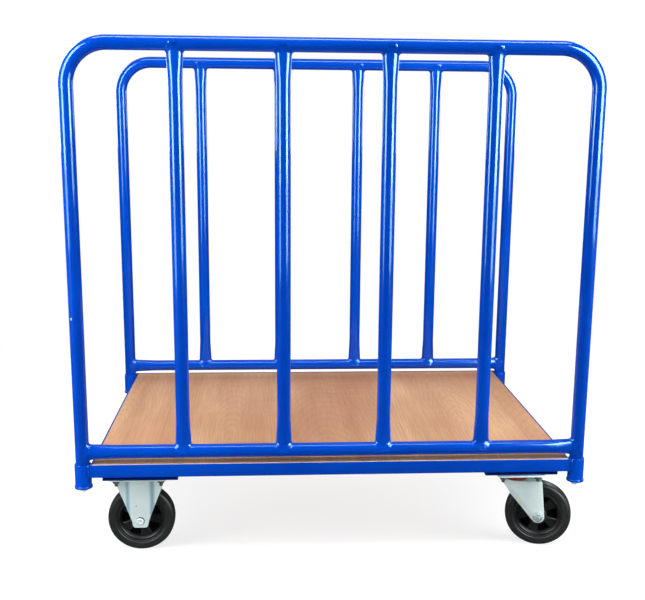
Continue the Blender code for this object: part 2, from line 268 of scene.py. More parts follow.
def sheetBlock(name, low, high, cornerRadius=0.0, edge=0.0008):
    # a flat plate: cube at its size and place, upright corners rounded, then all edges eased
    low, high = Vector(low), Vector(high)
    piece = added(name, bpy.ops.mesh.primitive_cube_add, size=1, location=(low + high) / 2)
    piece.scale = high - low
    settle(piece)
    if cornerRadius:
        startEdit(piece)
        bpy.ops.mesh.select_mode(type="EDGE")
        selectAll("DESELECT")
        shape = bmesh.from_edit_mesh(piece.data)
        for line in shape.edges:
            a, b = (v.co for v in line.verts)
            line.select = abs(a.z - b.z) > (high.z - low.z) / 2
        shape.select_flush_mode()
        bmesh.update_edit_mesh(piece.data)
        bpy.ops.mesh.bevel(offset=cornerRadius, segments=6, affect="EDGES")
        endEdit()
    roundEdges(piece, edge)
    return smooth(piece)


def loft(name, rings):
    # rings of points that scaling a ring can't give, such as a hexagon that turns into a circle
    shape = bmesh.new()
    loops = [[shape.verts.new(point) for point in ring] for ring in rings]
    count = len(rings[0])
    for lower, upper in zip(loops, loops[1:]):
        for i in range(count):
            j = (i + 1) % count
            shape.faces.new((lower[i], lower[j], upper[j], upper[i]))
    shape.faces.new(list(reversed(loops[0])))
    shape.faces.new(loops[-1])
    bmesh.ops.recalc_face_normals(shape, faces=shape.faces)
    return fromShape(name, shape)


def cutFromSheet(name, outline, nearY, farY, edge=0.0008):
    # an outline in X and Z, given its thickness along Y
    shape = bmesh.new()
    shape.faces.new([shape.verts.new((x, nearY, z)) for x, z in outline])
    piece = fromShape(name, shape)
    startEdit(piece)
    pushRing(0, farY - nearY, 0)
    selectAll()
    bpy.ops.mesh.normals_make_consistent(inside=False)
    endEdit()
    roundEdges(piece, edge, 2, 40)
    return smooth(piece)


def dressNode(node, edge):
    # a copy of a CAD piece whose shape is right, merged, with its sharp edges eased
    piece = twin(nodes[node], node + "_dressed", Matrix.Identity(4))
    piece.parent = None
    piece.matrix_world = Matrix.Identity(4)
    startEdit(piece)
    bpy.ops.mesh.remove_doubles(threshold=0.00001)
    bpy.ops.mesh.dissolve_limited(angle_limit=math.radians(1))
    endEdit()
    roundEdges(piece, edge, 3)
    return smooth(piece)


# shader trees, written as sums

def addNode(tree, kind, **settings):
    node = tree.nodes.new(kind)
    for key, value in settings.items():
        setattr(node, key, value)
    return node


def feed(socket, value):
    if isinstance(value, Wire):
        value.tree.links.new(value.socket, socket)
    else:
        socket.default_value = value


def plug(node, **values):
    for key, value in values.items():
        feed(node.inputs[key.replace("_", " ")], value)
    return node


class Wire:
    # what comes out of a shader node, to be worked on like a number
    def __init__(self, socket):
        self.socket = socket
        self.tree = socket.id_data

    def through(self, kind, output, *values, settings=None, **labelled):
        # on through another node, whose inputs are given in their order or by their labels
        node = plug(addNode(self.tree, kind, **(settings or {})), **labelled)
        for socket, value in zip(node.inputs, values):
            feed(socket, value)
        return Wire(node.outputs[output])

    def maths(self, operation, other=0.0):
        return self.through("ShaderNodeMath", 0, self, other, settings={"operation": operation})

    __add__ = partialmethod(maths, "ADD")
    __sub__ = partialmethod(maths, "SUBTRACT")
    __mul__ = partialmethod(maths, "MULTIPLY")
    __truediv__ = partialmethod(maths, "DIVIDE")

    def ranged(self, fromLow, fromHigh, toLow=0.0, toHigh=1.0):
        return self.through("ShaderNodeMapRange", "Result", self, fromLow, fromHigh, toLow, toHigh)

    def chance(self):
        return self.through("ShaderNodeTexWhiteNoise", "Value", W=self, settings={"noise_dimensions": "1D"})

    def distanceTo(self, point):
        return self.through("ShaderNodeVectorMath", "Value", self, point, settings={"operation": "DISTANCE"})

    def stretched(self, scale, rotation=(0, 0, 0), place=(0, 0, 0)):
        return self.through("ShaderNodeMapping", "Vector", self, place, rotation, scale)

    def noise(self, scale, detail=2.0, distortion=0.0):
        return self.through("ShaderNodeTexNoise", "Fac", Vector=self, Scale=scale, Detail=detail,
                            Distortion=distortion)

    def raised(self, strength, distance):
        return self.through("ShaderNodeBump", "Normal", Height=self, Strength=strength, Distance=distance)

    def grouped(self, group, **values):
        node = plug(addNode(self.tree, "ShaderNodeGroup", node_tree=group), Vector=self, **values)
        return {socket.name: Wire(socket) for socket in node.outputs}


def mixed(factor, a, b):
    node = addNode(factor.tree, "ShaderNodeMix", data_type="RGBA")
    for socket, value in zip((node.inputs[0], node.inputs[6], node.inputs[7]), (factor, a, b)):
        feed(socket, (*value, 1) if isinstance(value, tuple) else value)
    return Wire(node.outputs[2])


def shaded(colour, shade):
    return tuple(channel * shade for channel in colour)


def grey(tone):
    return (tone, tone, tone, 1)


def newFinish(name, **constants):
    material = bpy.data.materials.new(name)
    material.use_nodes = True
    tree = material.node_tree
    shader = plug(tree.nodes["Principled BSDF"], **constants)
    return material, shader, Wire(addNode(tree, "ShaderNodeTexCoord").outputs["Object"])


# shader groups shared by the finishes

def newGroup(name, outputs, **numbers):
    group = bpy.data.node_groups.new(name, "ShaderNodeTree")
    group.interface.new_socket("Vector", in_out="INPUT", socket_type="NodeSocketVector")
    for label, value in numbers.items():
        number = group.interface.new_socket(label, in_out="INPUT", socket_type="NodeSocketFloat")
        number.default_value = value
    for label in outputs:
        group.interface.new_socket(label, in_out="OUTPUT", socket_type="NodeSocketFloat")
    entry, leave = addNode(group, "NodeGroupInput"), addNode(group, "NodeGroupOutput")
    return group, leave, *(Wire(entry.outputs[label]) for label in ("Vector", *numbers))


def makeMottle():
    # broad and fine unevenness of a finish
    group, leave, place, scale = newGroup("mottle", ("Broad", "Fine"), Scale=6.0)
    broad = place.noise(scale, 3.0, 0.4)
    fine = place.noise(scale * 13.0, 4.0)
    plug(leave, Broad=broad.ranged(0.3, 0.7), Fine=fine.ranged(0.3, 0.7))
    return group


def makeScuffs():
    # thin rubbed lines in patches, across and along
    group, leave, place, scale, amount = newGroup("scuffs", ("Mask",), Scale=40.0, Amount=0.5)
    across = place.stretched((1.0, 1.0, 0.05), (0.2, 0.3, 0)).noise(scale, 3.0).ranged(0.66, 0.74)
    along = place.stretched((0.06, 1.0, 1.0), (0, 0.25, 0.4)).noise(scale, 3.0).ranged(0.66, 0.74)
    patch = place.noise(5.0).ranged(0.45, 0.65)
    plug(leave, Mask=across.maths("MAXIMUM", along) * patch * amount)
    return group


def makeSkin():
    # the small relief of a coating, casting or moulding
    group, leave, place, scale = newGroup("skin", ("Height",), Scale=300.0)
    plug(leave, Height=place.noise(scale) + place.noise(scale * 4.0, 1.0) * 0.35)
    return group


mottle, scuffs, skin = makeMottle(), makeScuffs(), makeSkin()


# finishes

bluePaintLook = {"deep": (0.000, 0.048, 0.435), "bright": (0.000, 0.062, 0.512),
                 "rubbed": (0.002, 0.078, 0.540), "chip": (0.36, 0.46, 0.62), "tint": (0.62, 0.95, 1),
                 "chipPlace": (-0.594, -0.4135, 0.583), "chipSize": (0.0022, 0.0030), "chipRagged": 0.002,
                 "gloss": 0.5, "rough": (0.10, 0.14), "rubbedRough": 0.2, "peel": (0.004, 0.0004)}


def makeBluePaint(name, shade):
    look = bluePaintLook
    deep, bright, rubbed = (shaded(colour, shade) for colour in pick(look, "deep bright rubbed"))
    material, shader, place = newFinish(name, Specular_IOR_Level=look["gloss"],
                                        Specular_Tint=(*look["tint"], 1))
    uneven = place.grouped(mottle, Scale=5.0)
    worn = place.grouped(scuffs, Scale=55.0, Amount=0.15)["Mask"]
    colour = mixed(worn, mixed(uneven["Broad"], deep, bright), rubbed)
    ragged = place.noise(500.0).ranged(0.3, 0.7, -look["chipRagged"], look["chipRagged"])
    knock = (place.distanceTo(look["chipPlace"]) + ragged).ranged(*look["chipSize"], 1, 0)
    colour = mixed(knock, colour, look["chip"])  # one knock on the left post
    rough = uneven["Fine"].ranged(0, 1, *look["rough"]) + worn * look["rubbedRough"]
    peel = place.grouped(skin, Scale=420.0)["Height"]
    plug(shader, Base_Color=colour, Roughness=rough, Normal=peel.raised(*look["peel"]))
    return material


plywoodLook = {"leafWidth": 0.31, "leafStart": 0.37, "ringWidth": 0.0085, "heartOffset": 0.12,
               "ringSlope": 0.16, "sway": 0.05, "wobble": 0.02, "pale": (0.675, 0.405, 0.228),
               "tan": (0.495, 0.256, 0.138), "red": (0.44, 0.190, 0.110), "dark": (0.30, 0.140, 0.076),
               "pore": (0.24, 0.11, 0.06), "edgeGlint": (0.84, 0.66, 0.52), "edgeGlintWidth": 0.004,
               "gloss": 0.03, "rough": (0.50, 0.62), "relief": (0.12, 0.0004)}


def makePlywood():
    look = plywoodLook
    material, shader, place = newFinish("plywood", Specular_IOR_Level=look["gloss"])
    x, y = (place.through("ShaderNodeSeparateXYZ", axis, place) for axis in "XY")
    # veneer leaves side by side along X, each from another part of the log
    along = x / look["leafWidth"] + look["leafStart"]
    leaf = along.maths("FLOOR")
    across = along - leaf - 0.5
    shift = leaf.chance()
    # growth rings cut at a shallow slope: long arches along Y
    sway = place.stretched((0.6, 1.2, 1)).noise(2.0) * look["sway"]
    fromHeart = across * look["leafWidth"] + sway + (shift - 0.5) * look["heartOffset"]
    slope = y * look["ringSlope"] + shift * 0.25
    radius = (fromHeart * fromHeart + slope * slope).maths("SQRT")
    wobble = place.stretched((9, 2.2, 1)).noise(1.6, 3.0) * look["wobble"]
    late = ((radius + wobble) / look["ringWidth"]).maths("FRACT").ranged(0.45, 0.97)
    fibre = place.stretched((260, 7, 60)).noise(1.0, 3.0)
    pores = place.stretched((620, 22, 60)).noise(1.0).ranged(0.62, 0.70)
    bands = place.stretched((8.0, 0.9, 1)).noise(1.0, 4.0, 0.5)
    heart = place.stretched((2.6, 1.5, 1), place=(0.3, 0.8, 0)).noise(1.0)
    flame = place.stretched((5.0, 42.0, 1)).noise(1.0, 3.0, 0.8)
    cloud = place.grouped(mottle, Scale=3.2)["Broad"]
    streaks = place.stretched((3.0, 60.0, 1)).noise(1.0, 3.0)
    # painted shade under the rear rail: rises towards the far edge, weaker on the left
    farEdgeShade = y.ranged(0.20, 0.39) * x.ranged(-0.35, 0.15, 0.35, 1)
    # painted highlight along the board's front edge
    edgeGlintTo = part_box("deck_board")[0].y + look["edgeGlintWidth"]
    colour = mixed(bands.ranged(0.36, 0.66), look["tan"], look["pale"])  # bands along the grain
    for factor, tone in (
            (heart.ranged(0.48, 0.70, 0, 0.55), "red"),
            (flame.ranged(0.55, 0.75, 0, 0.22), "pale"),  # short sheen across the grain
            (cloud.ranged(0, 1, 0.10, 0), "dark"),
            (late * 0.17, "dark"),
            (fibre.ranged(0.35, 0.7, 0, 0.26), "dark"),
            (pores * 0.30, "pore"),
            (farEdgeShade * streaks.ranged(0.3, 0.7, 0.30, 0.75), "red"),  # painted shade of the rear rail: redder and darker along the far edge
            (shift.ranged(0, 1, 0, 0.16), "dark"),  # no two leaves are alike
            (across.maths("ABSOLUTE").ranged(0.4955, 0.4985, 0, 0.35), "dark"),  # seams between the leaves
            (y.ranged(edgeGlintTo - look["edgeGlintWidth"] / 2, edgeGlintTo, 0.8, 0), "edgeGlint")):  # painted highlight where light catches the front edge
        colour = mixed(factor, colour, look[tone])
    relief = fibre - pores * 0.8
    plug(shader, Base_Color=colour, Roughness=fibre.ranged(0.3, 0.7, *look["rough"]),
         Normal=relief.raised(*look["relief"]))
    return material


# a coat's tones, scale of mottle, roughness, scale and amount of scuffs, scale, strength and depth of relief
# zinc's darker, bluer slope tone is painted shade, laid on the slopes of the pressed legs
zincLook = {"dark": (0.73, 0.87, 0.88), "light": (0.84, 0.96, 0.95), "straw": (0.84, 0.93, 0.86),
            "scuff": (0.73, 0.87, 0.88), "slopeShade": (0.32, 0.52, 0.60), "metallic": 0.25, "mottle": 22.0,
            "rough": (0.42, 0.52), "scuffs": (160.0, 0.5), "relief": (700.0, 0.06, 0.0003)}
darkSteelLook = {"dark": (0.06, 0.06, 0.065), "light": (0.12, 0.12, 0.125), "scuff": (0.3, 0.3, 0.3),
                 "metallic": 0.9, "mottle": 40.0, "rough": (0.35, 0.55), "scuffs": (200.0, 0.6)}
rubberLook = {"dark": (0.0150, 0.0175, 0.0162), "light": (0.0240, 0.0272, 0.0254),
              "scuff": (0.06, 0.06, 0.056), "gloss": 0.26, "mottle": 14.0, "rough": (0.42, 0.52),
              "scuffs": (90.0, 0.2), "relief": (520.0, 0.12, 0.0004)}
blackPlasticLook = {"dark": (0.010, 0.0112, 0.0110), "light": (0.018, 0.0192, 0.0188), "mottle": 18.0,
                    "rough": (0.28, 0.40), "relief": (380.0, 0.10, 0.0003)}
# painted shade: near black for the floors of the wheel pockets
pocketShadeLook = {"dark": (0.0012, 0.0012, 0.0012), "light": (0.0025, 0.0024, 0.0024), "gloss": 0.05,
                  "mottle": 18.0, "rough": (0.6, 0.7), "relief": (380.0, 0.10, 0.0003)}
redSealLook = {"dark": (0.20, 0.022, 0.012), "light": (0.27, 0.034, 0.018), "gloss": 0.3, "mottle": 18.0,
               "rough": (0.38, 0.5), "relief": (420.0, 0.10, 0.0003)}


def makeCoat(name, look, shade=1.0):
    # an uneven finish with whatever its look adds: streaks, scuffs, painted shade on the bends, a small
    # relief
    tones = {key: shaded(value, shade) for key, value in look.items()
             if key in ("dark", "light", "straw", "scuff", "slopeShade")}
    material, shader, place = newFinish(name, Metallic=look.get("metallic", 0.0),
                                        Specular_IOR_Level=look.get("gloss", 0.5))
    uneven = place.grouped(mottle, Scale=look["mottle"])
    colour = mixed(uneven["Broad"], tones["dark"], tones["light"])
    if "straw" in tones:
        flow = place.stretched((60, 60, 9)).noise(1.0, 3.0)
        colour = mixed(flow.ranged(0.45, 0.7, 0, 0.5), colour, tones["straw"])
    if "scuff" in tones:
        scale, amount = look["scuffs"]
        colour = mixed(place.grouped(scuffs, Scale=scale, Amount=amount)["Mask"], colour, tones["scuff"])
    # painted shade down the slopes of the pressing, where the bend attribute is set
    if "slopeShade" in tones:
        bend = Wire(addNode(place.tree, "ShaderNodeAttribute", attribute_name="bend").outputs["Fac"])
        colour = mixed(bend.ranged(0, 0.8), colour, tones["slopeShade"])
    plug(shader, Base_Color=colour, Roughness=uneven["Fine"].ranged(0, 1, *look["rough"]))
    if "relief" in look:
        scale, strength, distance = look["relief"]
        plug(shader, Normal=place.grouped(skin, Scale=scale)["Height"].raised(strength, distance))
    return material


finishes = {
    "blue_paint": makeBluePaint("bluePaint", 1.0),
    # painted shade: the caster channels and the bearer under the deck get the blue at 0.45 of its tones
    "shaded_paint": makeBluePaint("bluePaintShaded", 0.45),
    "plywood": makePlywood(),
    "zinc": makeCoat("zincPlate", zincLook),
    # the swivel axles' nut, bolt and sleeve, drawn at 0.45 of the plating's tones
    "darker_zinc": makeCoat("zincDarker", zincLook, 0.45),
    # painted shade: the nuts under the caster plates, at 0.12 of the plating's tones
    "shaded_zinc": makeCoat("zincShaded", zincLook, 0.12),
    "dark_steel": makeCoat("darkSteel", darkSteelLook),
    "tyre_rubber": makeCoat("tyreRubber", rubberLook),
    "black_plastic": makeCoat("blackPlastic", blackPlasticLook),
    "pocket_shade": makeCoat("pocketShade", pocketShadeLook),
    "red_seal": makeCoat("redSeal", redSealLook),
}
print("finishes made:", len(finishes))


# side frames: bent hoop, crimped rail and bars, weld fillets

tubeSize = {"radius": 0.016, "bendRadius": 0.089, "frameHeight": 1.200, "sides": 48, "bendSteps": 24,
            "edge": 0.001}
crimpSize = {"width": 0.037, "thickness": 0.026, "length": 0.070, "steps": 14, "sunkEnd": 0.012}
weldSize = {"leg": 0.0056, "sink": 0.0025, "dip": 0.22, "steps": 96, "ripples": 38, "rippleDepth": 0.00025}
topRailZ = tubeSize["frameHeight"] - tubeSize["radius"]


def makeHoop(name, y):
    bend, steps = tubeSize["bendRadius"], tubeSize["bendSteps"]
    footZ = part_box(name)[0].z
    bendX, bendZ = postX - bend, topRailZ - bend
    piece = settle(added(name + "_tube", bpy.ops.mesh.primitive_circle_add, vertices=tubeSize["sides"],
                         radius=tubeSize["radius"], location=(-postX, y, footZ)))
    startEdit(piece)
    pushRing(0, 0, bendZ - footZ)  # left post
    bpy.ops.mesh.spin(steps=steps, angle=-math.pi / 2, center=(-bendX, y, bendZ), axis=(0, 1, 0))
    pushRing(2 * bendX, 0, 0)  # top rail
    bpy.ops.mesh.spin(steps=steps, angle=-math.pi / 2, center=(bendX, y, bendZ), axis=(0, 1, 0))
    pushRing(0, 0, footZ - bendZ)  # right post
    closeEnds()
    endEdit()
    roundEdges(piece, tubeSize["edge"], 2, 60)
    return smooth(piece, 40)


def crimpedTube(name, span):
    # a round tube along Z with flattened, flared ends that run into the cross tubes
    radius, steps = tubeSize["radius"], crimpSize["steps"]
    wide, thin = crimpSize["width"] / 2, crimpSize["thickness"] / 2
    low = [(crimpSize["sunkEnd"], wide, thin)]
    for i in range(steps + 1):
        share = i / steps
        eased = share * share * (3 - 2 * share)
        low.append((radius + crimpSize["length"] * share, wide * (1 - eased) + radius * eased,
                    thin * (1 - eased) + radius * eased))
    high = [(span - z, halfX, halfY) for z, halfX, halfY in reversed(low)]
    return smooth(ringTube(name, low + high, tubeSize["sides"]), 50)


def makeWeld(name):
    # a fillet turned as a ring, then laid on the saddle where a flattened end meets a cross tube along X
    leg, sink, radius = weldSize["leg"], weldSize["sink"], tubeSize["radius"]
    halfX, halfY = crimpSize["width"] / 2, crimpSize["thickness"] / 2
    profile = [(1 - sink, -sink), (1 + leg, -sink)]
    for share in (0, 0.25, 0.5, 0.75, 1):
        hollow = weldSize["dip"] * leg * math.sin(math.pi * share)  # a weld's face dips a little
        profile.append((1 + leg * (1 - share) - hollow, leg * share - hollow))
    profile.append((1 - sink, leg))
    piece = lathe(name, profile, weldSize["steps"])
    for v in piece.data.vertices:
        turn = math.atan2(v.co.y, v.co.x)
        out = math.hypot(v.co.x, v.co.y) - 1
        if out > 0 or v.co.z > 0:
            out += weldSize["rippleDepth"] * math.sin(turn * weldSize["ripples"])
        normal = Vector((math.cos(turn) / halfX, math.sin(turn) / halfY, 0)).normalized()
        spot = Vector((halfX * math.cos(turn), halfY * math.sin(turn), 0)) + normal * out
        saddle = math.sqrt(max(radius ** 2 - spot.y ** 2, 0))
        v.co = (spot.x, spot.y, saddle + v.co.z)
    return smooth(piece, 60)


barMaster = crimpedTube("barMaster", topRailZ - bottomRailZ)
railMaster = crimpedTube("railMaster", 2 * postX)
weldMaster = makeWeld("weldMaster")
upsideDown = turned(math.pi, "X")
toRight = turned(math.pi / 2, "Y")
for side, y in frameY.items():
    finishPiece(makeHoop(side + "_hoop", y), "blue_paint", side + "_hoop")
    railStart = at(-postX, y, bottomRailZ) @ toRight
    lay(railMaster, side + "_bottom_rail_tube", railStart, "blue_paint", side + "_bottom_rail")
    seats = [railStart, at(postX, y, bottomRailZ) @ toRight @ upsideDown]
    for i in range(1, 5):
        node = f"{side}_bar_{i}"
        x = middleOf(node).x
        lay(barMaster, node + "_tube", at(x, y, bottomRailZ), "blue_paint", node)
        seats += [at(x, y, bottomRailZ), at(x, y, topRailZ) @ upsideDown]
    welds = joined(side + "_frame_welds", [twin(weldMaster, "weld", seat) for seat in seats])
    finishPiece(welds, "blue_paint")
discard(barMaster, railMaster, weldMaster)
print("side frames made")


# fasteners

# share of the flats that the chamfer leaves, and its slope in degrees
fastenerSize = {"crown": 0.97, "chamfer": 30, "sides": 48, "washerSides": 40, "shankSides": 32}


def evenTurns(count):
    return [i * 2 * math.pi / count for i in range(count)]


def hexRings(flats, bottom, top):
    # rings of a hexagon head from bottom to top, with the turned chamfer on the free face
    def reach(turn):
        off = (turn + math.pi / 6) % (math.pi / 3) - math.pi / 6
        return flats / 2 / math.cos(off)

    turns = evenTurns(fastenerSize["sides"])
    crown = flats / 2 * fastenerSize["crown"]
    fall = math.copysign(math.tan(math.radians(fastenerSize["chamfer"])), top - bottom)
    return [[polar(reach(t), t, bottom) for t in turns],
            [polar(reach(t), t, top - (reach(t) - crown) * fall) for t in turns],
            [polar(crown, t, top) for t in turns]]


def makeHexNut(name, flats, bottom, top, stub, shank):
    # a nut on a bolt's end: chamfered hexagon, then the thread that stands out of it
    tip = top + stub
    step = math.copysign(0.001, stub)
    rings = hexRings(flats, bottom, top)
    for share, height in ((1.25, top), (1.02, top - step), (0.98, top), (0.98, tip - step), (0.8, tip)):
        rings.append([polar(shank * share, t, height) for t in evenTurns(fastenerSize["sides"])])
    return smooth(loft(name, rings), 25)


# sockets under the corners, each with its bolt

socketSize = {"radius": 0.019, "bore": 0.0165, "hole": 0.0055, "lip": 0.0208, "lipHeight": 0.005,
              "floor": 0.004, "edge": 0.0007, "sides": 56}
postBoltSize = {"flats": 0.017, "head": 0.0064, "shank": 0.005, "washer": 0.0105, "washerThickness": 0.002,
                "point": 0.001}


def makeSocket(name, depth):
    radius, bore, hole, lip, lipHeight, floor = pick(socketSize, "radius bore hole lip lipHeight floor")
    profile = [(hole, 0), (lip, 0), (lip, lipHeight), (radius, lipHeight), (radius, depth), (bore, depth),
               (bore, floor), (hole, floor)]
    return lathe(name, profile, socketSize["sides"], edge=socketSize["edge"], segments=3, angle=35)


def makePostBolt(name, tip):
    # washer, hexagon head below it, shank up through the socket's floor; the washer's top is at zero
    size = postBoltSize
    under, shank = -size["washerThickness"], size["shank"]
    head = loft(name + "Head", hexRings(size["flats"], under, under - size["head"]))
    washer = turnedRing(name + "Washer", shank, size["washer"], under, 0, fastenerSize["washerSides"])
    profile = [(shank, under), (shank, tip - size["point"]), (shank * 0.8, tip)]
    shaft = lathe(name + "Shank", profile, fastenerSize["shankSides"], bridged=False)
    return smooth(joined(name, [head, washer, shaft]), 25)


socketLow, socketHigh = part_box("front_left_socket")
boltLow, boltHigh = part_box("front_left_post_bolt")
washerTop = boltLow.z + postBoltSize["head"] + postBoltSize["washerThickness"]
socketMaster = makeSocket("socketMaster", socketHigh.z - socketLow.z)
postBoltMaster = makePostBolt("postBoltMaster", boltHigh.z - washerTop)
for side, y in frameY.items():
    for end, x in (("left", -postX), ("right", postX)):
        place = f"{side}_{end}"
        lay(socketMaster, place + "_socket_cup", at(x, y, socketLow.z), "blue_paint", place + "_socket")
        lay(postBoltMaster, place + "_post_bolt_set", at(x, y, washerTop), "zinc", place + "_post_bolt")
discard(socketMaster, postBoltMaster)
print("sockets made")


# deck: board in its angle frame, bearer and caster channels, short welds at the corners

deckSize = {"boardEdge": 0.0009, "angleEdge": 0.0009, "channelEdge": 0.0012, "bearerEdge": 0.0006,
            "seamRadius": 0.003, "seamRipples": 9, "seamSunk": 0.0008, "seamInset": 0.001, "seamEnd": 0.4}


def makeSeam(name, length):
    # a short run of weld, upright from zero
    radius, ripples = deckSize["seamRadius"], deckSize["seamRipples"]
    profile = [(radius * deckSize["seamEnd"], 0)]
    for i in range(ripples):
        for part, swell in ((0.25, 0.92), (0.75, 1.04)):
            profile.append((radius * swell, length * (0.04 + 0.92 * (i + part) / ripples)))
    profile.append((radius * deckSize["seamEnd"], length))
    return lathe(name, profile, 20, bridged=False, angle=80)


board = sheetBlock("deck_board_veneered", *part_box("deck_board"), edge=deckSize["boardEdge"])
finishPiece(board, "plywood", "deck_board")
for node in ("front_angle", "rear_angle", "left_angle", "right_angle"):
    finishPiece(dressNode(node, deckSize["angleEdge"]), "blue_paint", node)
for node, edge in (("left_caster_channel", "channelEdge"), ("right_caster_channel", "channelEdge"),
                   ("deck_bearer", "bearerEdge")):
    # painted shade: channels and bearer in the darkened blue
    finishPiece(dressNode(node, deckSize[edge]), "blue_paint", node, finish="shaded_paint")

angleLow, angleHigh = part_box("front_angle")
seamMaster = makeSeam("seamMaster", angleHigh.z - angleLow.z - 2 * deckSize["seamInset"])
seams = []
for side in frameY:
    low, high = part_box(side + "_angle")
    seamY = low.y + deckSize["seamSunk"] if side == "front" else high.y - deckSize["seamSunk"]
    for x in (angleLow.x, angleHigh.x):
        seams.append(twin(seamMaster, "seam", at(x, seamY, angleLow.z + deckSize["seamInset"])))
discard(seamMaster)
finishPiece(joined("corner_welds", seams), "blue_paint")
print("deck made")


# wheels: solid rubber tyre on a moulded rim with five pockets each side

tyreSize = {"radius": 0.080, "halfWidth": 0.020, "shoulder": 0.008, "shoulderSteps": 6, "crown": 0.0006,
            "crownHalfway": (0.4, 0.35), "middle": 0.0004, "sides": 112,
            # radius and height of the raised band, the groove and the bead beside the rim
            "sidewall": [(0.0690, 0.0200), (0.0665, 0.0196), (0.0640, 0.0199), (0.0622, 0.0197),
                         (0.0612, 0.0188), (0.0606, 0.0179), (0.0594, 0.0177), (0.0580, 0.0180),
                         (0.0570, 0.0176), (0.0563, 0.0170)]}
rimSize = {"radius": 0.056, "halfWidth": 0.017, "lip": 0.0505, "well": 0.0475, "backDisc": 0.0015,
           "face": 0.0120, "hub": 0.022, "hubHalf": 0.029, "bore": 0.0153, "edge": 0.0005, "spokes": 5,
           "spokeTurn": 34, "spokeInner": 0.020, "spokeSteps": 8, "spokeEdge": 0.0012,
           "spokeOverlap": 0.001, "spokeFall": 0.002, "sides": 96}
bearingSize = {"bore": 0.0103, "outer": 0.015, "half": 0.025, "edge": 0.0004}
wheelTurn = {"front_left": 4, "rear_left": 31, "front_right": 31, "rear_right": 12}  # degrees about the axle


def makeTyre(name):
    radius, half, shoulder, steps, crown = pick(tyreSize, "radius halfWidth shoulder shoulderSteps crown")
    fall, out = tyreSize["crownHalfway"]  # shares of the crown and of half the width
    profile = [(radius, tyreSize["middle"]), (radius - crown * fall, half * out),
               (radius - crown, half - shoulder)]
    for i in range(1, steps + 1):
        turn = math.pi / 2 * i / steps
        profile.append((radius - crown - shoulder * (1 - math.cos(turn)),
                        half - shoulder + shoulder * math.sin(turn)))
    outline = list(reversed(mirroredProfile(profile + tyreSize["sidewall"])))
    return lathe(name, outline, tyreSize["sides"], matrix=alongY, angle=50)


def makeSpoke(name):
    # one broad spoke between two pockets, as a ring segment on both sides of the back disc
    inner, outer, face = rimSize["spokeInner"], rimSize["well"] + rimSize["spokeOverlap"], rimSize["face"]
    high = face + rimSize["spokeFall"]
    corners = ((inner, high), (inner, -high), (outer, -face), (outer, face))
    rings = []
    for i in range(rimSize["spokeSteps"] + 1):
        turn = math.radians(rimSize["spokeTurn"]) * (i / rimSize["spokeSteps"] - 0.5)
        rings.append([polar(radius, turn, height) for radius, height in corners])
    piece = loft(name, rings)
    roundEdges(piece, rimSize["spokeEdge"], 3, 40)
    return piece


def makeRim(name):
    radius, halfWidth, lip, well, backDisc, face = pick(rimSize, "radius halfWidth lip well backDisc face")
    hub, hubHalf, bore = pick(rimSize, "hub hubHalf bore")
    half = [(radius, halfWidth), (lip + 0.0015, halfWidth + 0.0004), (lip, halfWidth - 0.001),
            (lip - 0.001, face + 0.0022), (well, face), (well - 0.001, backDisc), (hub + 0.002, backDisc),
            (hub, backDisc + 0.002), (hub - 0.0008, hubHalf - 0.001), (hub - 0.0018, hubHalf),
            (bore, hubHalf)]
    outline = list(reversed(mirroredProfile(half)))
    disc = lathe(name + "Disc", outline, rimSize["sides"], edge=rimSize["edge"], edgeAngle=40)
    spoke = makeSpoke(name + "Spoke")
    pieces = [disc] + [twin(spoke, "spoke", turned(turn, "Z")) for turn in evenTurns(rimSize["spokes"])]
    discard(spoke)
    return smooth(settle(joined(name, pieces), alongY), 35)


def makeAxleRing(name, bore, outer, half, **settings):
    return turnedRing(name, bore, outer, -half, half, matrix=alongY, **settings)


tyreMaster = makeTyre("tyreMaster")
rimMaster = makeRim("rimMaster")
bearingMaster = makeAxleRing("bearingMaster", **bearingSize)
pocketShadeMaster = makeAxleRing("pocketShadeMaster", rimSize["hub"] - 0.001, rimSize["well"] - 0.0012,
                          rimSize["backDisc"] + 0.0004, sides=72, edge=0)  # painted shade: a near-black ring at the floor of the pockets
for place, degrees in wheelTurn.items():
    body = place + "_wheel"
    middle = at(*jointNamed(place + "_wheel_spin")["pos_m"])
    matrix = middle @ headingOf(place) @ turned(math.radians(degrees), "Y")
    for master, node, slot in ((tyreMaster, "tyre", "tyre_rubber"), (rimMaster, "rim", "black_plastic"),
                               (bearingMaster, "bearing", "dark_steel")):
        lay(master, f"{place}_{node}_moulded", matrix, slot, f"{place}_{node}", body=body)
    # painted shade at the floor of the pockets
    lay(pocketShadeMaster, place + "_rim_wells", matrix, "black_plastic", body=body, finish="pocket_shade")
discard(tyreMaster, rimMaster, bearingMaster, pocketShadeMaster)
print("wheels made")


# caster plates and their bolts

plateSize = {"corner": 0.010, "edge": 0.0008, "length": 0.135, "width": 0.115, "boltLength": 0.105,
             "boltWidth": 0.085}
plateBoltSize = {"flats": 0.015, "nut": 0.0065, "stub": 0.0078, "shank": 0.0042, "washer": 0.010,
                 "washerThickness": 0.0016, "nutTurn": 17}


def makePlate(name, x, y, length, width):
    low = (x - length / 2, y - width / 2, plateBottom)
    high = (x + length / 2, y + width / 2, plateTop)
    return sheetBlock(name, low, high, plateSize["corner"], plateSize["edge"])


def makePlateBolt(name):
    # nut and washer under a plate, thread end below; the plate's underside is at zero
    size = plateBoltSize
    under, shank = -size["washerThickness"], size["shank"]
    nut = makeHexNut(name + "Nut", size["flats"], under, under - size["nut"], -size["stub"], shank)
    washer = turnedRing(name + "Washer", shank, size["washer"], under, 0, fastenerSize["washerSides"])
    return joined(name, [nut, washer])


plateBoltMaster = makePlateBolt("plateBoltMaster")


